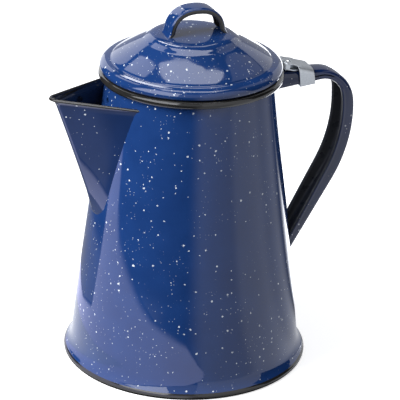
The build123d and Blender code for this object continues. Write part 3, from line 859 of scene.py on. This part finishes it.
ALUMINIUM_NODES = ("pump_tube", "pump_base", "basket_stop", "basket", "basket_sleeve", "basket_cover")
for node in ("hinge_pin", *ALUMINIUM_NODES):
    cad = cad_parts[node]
    cad.data.materials.clear()
    cad.data.materials.append(ALUMINIUM if node in ALUMINIUM_NODES else STEEL)

# ---------------------------------------------------------------- stage, light and camera

# From here on everything is in metres.
AIM = (0, 0, 0.10)
VIEW_AZ = math.radians(-20)


def from_view(across, away, height):
    """A place given across the camera's view, away from the camera, and up."""
    x = across * math.cos(VIEW_AZ) - away * math.sin(VIEW_AZ)
    y = across * math.sin(VIEW_AZ) + away * math.cos(VIEW_AZ)
    return (x, y, height)


def glow(name, strength, colour=(1, 1, 1)):
    """A material that gives off an even light."""
    material, _, _, shader = new_material(name)
    shader.inputs["Base Color"].default_value = (0, 0, 0, 1)
    shader.inputs["Specular IOR Level"].default_value = 0
    shader.inputs["Emission Color"].default_value = (*colour, 1)
    shader.inputs["Emission Strength"].default_value = strength
    return material


def stage_sheet(name, corners, material, faces=None):
    """A sheet of the studio, which is no part of the object."""
    mesh = bpy.data.meshes.new(name)
    mesh.from_pydata(corners, [], faces or [tuple(range(len(corners)))])
    mesh.materials.append(material)
    sheet = bpy.data.objects.new(name, mesh)
    bpy.context.scene.collection.objects.link(sheet)
    sheet.visible_glossy = False
    sheet.visible_diffuse = False
    return sheet


def reflector(name, corners, material, faces=None):
    """A studio card that is seen only in reflections."""
    card = stage_sheet(name, corners, material, faces)
    card.visible_glossy = True
    card.visible_camera = False
    card.visible_shadow = False
    card.visible_transmission = False
    return card


def smooth_step(value, low, high):
    """0 below low, 1 above high, and smooth between them."""
    t = clamped((value - low) / (high - low))
    return t * t * (3 - 2 * t)


def around_pot(azimuth, reach, height):
    """A place round the pot, by degrees to the right of the camera, and metres."""
    a = math.radians(azimuth)
    return from_view(reach * math.sin(a), -reach * math.cos(a), height)


def table_level(azimuth, reach):
    """Brightness of the table in the enamel's reflections, by the same degrees and metres."""
    # To the right of the camera it is grey, with a lighter sector in it.
    level = 0.62 * smooth_step(azimuth, 0, 18) * (1 - smooth_step(azimuth, 112, 130))
    level += 0.30 * smooth_step(azimuth, 48, 58) * (1 - smooth_step(azimuth, 84, 100))
    # Behind the pot it is bright on both sides, which lights the body's two edges.
    level += 3.8 * smooth_step(azimuth, 126, 140) + 1.7 * smooth_step(-azimuth, 147, 154)
    # To the left it is pale close to the pot, inside the paper, and dim under the spout.
    left = smooth_step(-azimuth, -8, 0) * (1 - smooth_step(-azimuth, 146, 154))
    level += 1.3 * left * (1 - smooth_step(reach, 0.118, 0.135))
    under_spout = smooth_step(reach, 0.12, 0.14) * (1 - smooth_step(reach, 0.26, 0.32))
    level += 0.35 * left * smooth_step(-azimuth, 15, 30) * under_spout
    return level


# The pale paper that stands round the left of the pot: its distance, and its top by the same degrees.
PAPER_REACH = 0.115
PAPER_TOP = (
    (-152, 0.02), (-128, 0.018), (-105, 0.013), (-86, 0.018), (-83, 0.06), (-82, 0.13),
    (-71, 0.13), (-67, 0.088), (-61, 0.070), (-54, 0.061), (-45, 0.051), (-34, 0.039),
    (-24, 0.031), (-13, 0.026), (2, 0.019), (10, 0.008), (16, 0.001),
)


def paper_place(azimuth, share):
    """A place on the paper: share runs from 0 at its foot to 1 at its top, and a little past it."""
    for (az0, top0), (az1, top1) in zip(PAPER_TOP, PAPER_TOP[1:]):
        if az0 <= azimuth <= az1:
            top = top0 + (top1 - top0) * (azimuth - az0) / (az1 - az0)
    return around_pot(azimuth, PAPER_REACH, share * top)


def paper_level(azimuth, share):
    """Brightness of the paper, which fades out at its top."""
    return 1.75 * (1 - smooth_step(share, 0.86, 1.1))


def graded_card(name, columns, rows, place, level_of, colour):
    """A card whose brightness varies: place and level_of take one column and one row value."""
    corners = [place(column, row) for column in columns for row in rows]
    levels = [level_of(column, row) for column in columns for row in rows]
    count = len(rows)
    faces = []
    for i in range(len(columns) - 1):
        for k in range(count - 1):
            faces.append((i * count + k, i * count + k + 1, (i + 1) * count + k + 1, (i + 1) * count + k))
    material = glow(name, 1, colour)
    nodes, links = material.node_tree.nodes, material.node_tree.links
    level = nodes.new("ShaderNodeAttribute")
    level.attribute_name = "level"
    links.new(level.outputs["Fac"], nodes["Principled BSDF"].inputs["Emission Strength"])
    card = reflector(name, corners, material, faces)
    card.data.attributes.new("level", "FLOAT", "POINT").data.foreach_set("value", levels)


FLOOR = 6.0  # half the floor's width
floor_material = glow("pale_floor", 0.66)
floor_shader = floor_material.node_tree.nodes["Principled BSDF"]
floor_shader.inputs["Base Color"].default_value = (0.9, 0.9, 0.91, 1)
floor_shader.inputs["Roughness"].default_value = 0.6
floor_corners = [(-FLOOR, -FLOOR, 0), (FLOOR, -FLOOR, 0), (FLOOR, FLOOR, 0), (-FLOOR, FLOOR, 0)]
stage_sheet("floor", floor_corners, floor_material)

world = bpy.data.worlds.new("studio")
bpy.context.scene.world = world
world.use_nodes = True
background = world.node_tree.nodes["Background"]
background.inputs["Color"].default_value = (0.95, 0.97, 1.0, 1)
background.inputs["Strength"].default_value = 0.35
world.cycles_visibility.glossy = False

graded_card(
    "card_table",
    range(-180, 181, 3),
    [0.074 * 1.115**i for i in range(36)],  # from just outside the foot to 3.3 m away
    lambda azimuth, reach: around_pot(azimuth, reach, -0.001),
    table_level,
    (0.92, 0.94, 1.0),
)
graded_card(
    "card_paper",
    range(-152, 17, 1),
    [0.05 * i for i in range(23)],
    paper_place,
    paper_level,
    (0.74, 0.74, 1.0),
)
CARD_COLOUR = (0.95, 0.96, 1.0)
# The even cards, as (strength, corners), with each corner given as from_view takes it.
CARDS = {
    "card_over": (3.9, (
        (-0.47, 0.34, 1.2), (-0.34, 0.0, 1.2), (-0.4, -0.18, 1.2), (0.34, -0.16, 1.2), (0.44, 0.24, 1.2),
        (0.2, 0.12, 1.2), (-0.15, 0.2, 1.2),
    )),
    "card_over_left": (2.2, ((-0.5, 0.32, 1.2), (-0.76, 0.18, 1.2), (-1.25, 0.95, 1.2), (-0.85, 1.02, 1.2))),
    "card_over_right": (0.5, ((0.5, 0.45, 1.2), (0.62, 0.0, 1.2), (1.9, 1.1, 1.2), (1.0, 1.5, 1.2))),
    "card_back_left": (1.5, ((-0.55, 1.7, 0.0), (-1.35, 1.6, 0.0), (-1.35, 1.6, 1.5), (-0.55, 1.7, 1.3))),
    "card_back_mid": (0.45, ((-0.54, 1.72, 0.0), (0.64, 1.72, 0.0), (0.64, 1.72, 1.15), (-0.54, 1.72, 1.15))),
    "card_back_right": (0.9, ((0.65, 1.7, 0.0), (2.6, 1.5, 0.0), (2.6, 1.5, 1.4), (0.65, 1.7, 1.2))),
    "card_back_high": (2.2, ((-0.17, 0.8, 0.78), (0.16, 0.8, 0.8), (0.12, 0.68, 1.05), (-0.12, 0.68, 1.05))),
    "card_strip": (7.0, ((-0.56, 1.2, 1.19), (-0.4, 1.26, 1.19), (-0.1, 0.68, 1.19), (-0.2, 0.58, 1.19))),
    "card_window_core": (10.0, (
        (-1.03, -0.37, 0.6), (-0.7, -0.82, 0.6), (-0.6, -0.7, 0.86), (-0.88, -0.31, 0.86),
    )),
    "card_window": (4.0, ((-1.12, -0.3, 0.4), (-0.3, -1.12, 0.4), (-0.17, -0.61, 1.2), (-0.61, -0.17, 1.2))),
    "card_front": (0.5, (
        (-0.28, -1.13, 0.15), (0.26, -1.13, 0.15), (0.14, -0.65, 1.15), (-0.16, -0.65, 1.15),
    )),
    "card_front_right": (0.85, (
        (0.27, -1.12, 0.0), (1.12, -0.25, 0.0), (0.66, -0.17, 1.15), (0.15, -0.65, 1.15),
    )),
}
for card_name, (card_strength, card_corners) in CARDS.items():
    card_material = glow(card_name, card_strength, CARD_COLOUR)
    reflector(card_name, [from_view(*corner) for corner in card_corners], card_material)


def softbox(name, place, size, power):
    """A square area light that faces the pot."""
    lamp = bpy.data.lights.new(name, "AREA")
    lamp.shape = "RECTANGLE"
    lamp.size = lamp.size_y = size
    lamp.energy = power
    light = bpy.data.objects.new(name, lamp)
    light.location = place
    light.rotation_euler = (Vector(AIM) - Vector(place)).to_track_quat("-Z", "Y").to_euler()
    bpy.context.scene.collection.objects.link(light)
    light.visible_glossy = False


softbox("key", from_view(-0.86, -0.40, 0.76), 0.7, 18)
softbox("rim", from_view(0.9, 0.9, 0.9), 0.6, 4)

CAMERA_DISTANCE, CAMERA_ELEVATION, CAMERA_ROLL = 1.585757, math.radians(24.1708), 0.0278177
TARGET = Vector((0, 0, 0.085))
camera_data = bpy.data.cameras.new("camera")
camera_data.sensor_width = 36
camera_data.lens = 241.76
camera_data.shift_x = 0.03186
camera_data.shift_y = 0.03963
camera_data.clip_end = 50
camera = bpy.data.objects.new("camera", camera_data)
bpy.context.scene.collection.objects.link(camera)
level_out = from_view(0, -math.cos(CAMERA_ELEVATION), 0)
out = Vector((level_out[0], level_out[1], math.sin(CAMERA_ELEVATION)))
camera.location = TARGET + out * CAMERA_DISTANCE
turn = (-out).to_track_quat("-Z", "Y").to_matrix().to_4x4()
camera.rotation_euler = (turn @ Matrix.Rotation(CAMERA_ROLL, 4, "Z")).to_euler()
bpy.context.scene.camera = camera
bpy.context.scene.view_settings.view_transform = "Standard"

bpy.context.view_layer.update()
